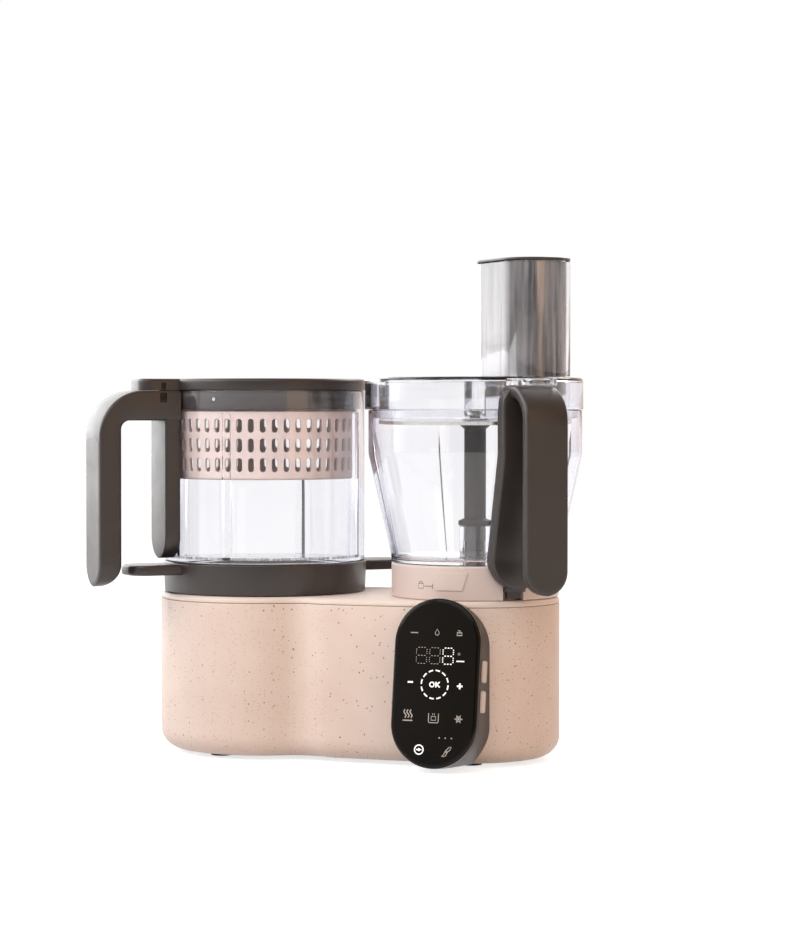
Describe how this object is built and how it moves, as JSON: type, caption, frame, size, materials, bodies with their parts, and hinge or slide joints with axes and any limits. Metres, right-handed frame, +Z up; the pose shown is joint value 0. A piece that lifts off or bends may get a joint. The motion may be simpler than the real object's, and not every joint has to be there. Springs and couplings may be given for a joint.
{
  "type": "baby food maker",
  "caption": "Table-top baby food maker with a steamer jug and a slicing processor bowl side by side on a rounded base with a tilted touch panel.",
  "frame": {"origin": "on the table, at the middle of the base's underside, on the face of the middle foot", "axes": "+X from the steamer to the processor, -Y to the front with the control panel, +Z up"},
  "size_m": [0.387, 0.2056, 0.3888],
  "materials": {
    "speckled_shell": "fine speckled matte",
    "cream_plastic": "satin",
    "pink_plastic": "satin",
    "dark_plastic": "soft matte",
    "panel_gloss": "high gloss",
    "clear_plastic": "clear",
    "pusher_plastic": "smoked gloss",
    "steel": "brushed",
    "dark_steel": "oiled",
    "cast_alloy": "as cast",
    "rubber": "matte",
    "silicone": "matte",
    "circuit_board": "solder mask"
  },
  "bodies": {
    "base": {"base_housing": "speckled_shell", "base_top_cover": "cream_plastic", "bottom_plate": "dark_plastic", "rubber_feet": "rubber", "bottom_screws": "steel", "mains_inlet": "dark_plastic", "inlet_pins": "steel", "shaft_seal": "silicone", "heating_plate": "steel", "heater_seal": "silicone", "heating_element": "dark_steel", "thermostat": "cast_alloy", "power_board": "circuit_board", "motor_bracket": "dark_steel", "motor_can": "dark_steel", "motor_bearings": "steel", "drive_belt": "rubber", "drive_bearing_housing": "cast_alloy", "drive_bearings": "steel", "interlock_switch": "dark_plastic", "control_panel_body": "dark_plastic", "touch_panel": "panel_gloss", "control_board": "circuit_board", "display_module": "panel_gloss", "button_switches": "dark_plastic"},
    "motor": {"motor_rotor": "dark_steel", "motor_shaft": "steel", "motor_pulley": "cast_alloy"},
    "drive": {"drive_pulley": "cast_alloy", "drive_shaft": "steel", "drive_dog": "dark_plastic"},
    "button_upper": {"side_button_upper": "pink_plastic"},
    "button_lower": {"side_button_lower": "pink_plastic"},
    "tray": {"steam_tray": "dark_plastic", "tray_floor": "dark_plastic", "tray_pan": "steel"},
    "jug": {"steamer_jug": "clear_plastic", "jug_foot": "clear_plastic", "jug_grid": "clear_plastic", "steamer_handle": "dark_plastic", "steamer_handle_inlay": "dark_plastic", "steamer_handle_screws": "dark_steel"},
    "basket": {"steam_basket": "pink_plastic"},
    "steamer_cap": {"steamer_lid": "dark_plastic", "lid_skirt": "dark_plastic", "lid_seal": "silicone"},
    "collar": {"bowl_collar": "pink_plastic"},
    "bowl": {"processor_bowl": "clear_plastic", "processor_handle": "dark_plastic", "processor_handle_inlay": "dark_plastic", "processor_handle_screws": "dark_steel"},
    "plunger": {"interlock_plunger": "dark_plastic", "plunger_spring": "steel"},
    "spindle": {"disc_spindle": "dark_plastic", "slicing_disc": "steel", "slicing_blade": "steel"},
    "processor_cap": {"processor_lid": "clear_plastic", "feed_chute": "clear_plastic"},
    "pusher": {"pusher_body": "pusher_plastic", "pusher_cap": "pusher_plastic"}
  },
  "joints": [
    {"name": "tray_lift", "type": "slide", "parent": "base", "child": "tray", "axis": [0, 0, 1], "range_m": [0, 0.06]},
    {"name": "jug_lift", "type": "slide", "parent": "tray", "child": "jug", "axis": [0, 0, 1], "range_m": [0, 0.1]},
    {"name": "basket_lift", "type": "slide", "parent": "jug", "child": "basket", "axis": [0, 0, 1], "range_m": [0, 0.1]},
    {"name": "steamer_lid_lift", "type": "slide", "parent": "basket", "child": "steamer_cap", "axis": [0, 0, 1], "range_m": [0, 0.06]},
    {"name": "collar_twist", "type": "hinge", "parent": "base", "child": "collar", "pos_m": [0.09725, 0, 0.14], "axis": [0, 0, 1], "range_deg": [0, 25]},
    {"name": "bowl_lift", "type": "slide", "parent": "collar", "child": "bowl", "axis": [0, 0, 1], "range_m": [0, 0.1]},
    {"name": "plunger_press", "type": "slide", "parent": "bowl", "child": "plunger", "axis": [0, 0, 1], "range_m": [0, 0.004], "stiffness_N_per_m": 300},
    {"name": "spindle_spin", "type": "hinge", "parent": "bowl", "child": "spindle", "pos_m": [0.09725, 0, 0.1], "axis": [0, 0, 1], "continuous": true},
    {"name": "processor_lid_lift", "type": "slide", "parent": "bowl", "child": "processor_cap", "axis": [0, 0, 1], "range_m": [0, 0.06]},
    {"name": "pusher_lift", "type": "slide", "parent": "processor_cap", "child": "pusher", "axis": [0, 0, 1], "range_m": [0, 0.115]},
    {"name": "drive_spin", "type": "hinge", "parent": "base", "child": "drive", "pos_m": [0.09725, 0, 0.1], "axis": [0, 0, 1], "continuous": true},
    {"name": "motor_spin", "type": "hinge", "parent": "base", "child": "motor", "pos_m": [0.03125, 0, 0.1], "axis": [0, 0, 1], "continuous": true},
    {"name": "upper_button_press", "type": "slide", "parent": "base", "child": "button_upper", "axis": [-1, 0, 0], "range_m": [0, 0.0012], "stiffness_N_per_m": 600},
    {"name": "lower_button_press", "type": "slide", "parent": "base", "child": "button_lower", "axis": [-1, 0, 0], "range_m": [0, 0.0012], "stiffness_N_per_m": 600}
  ],
  "couplings": [
    {"joint": "spindle_spin", "follows": "drive_spin", "ratio": 1},
    {"joint": "motor_spin", "follows": "drive_spin", "ratio": 3.75}
  ]
}
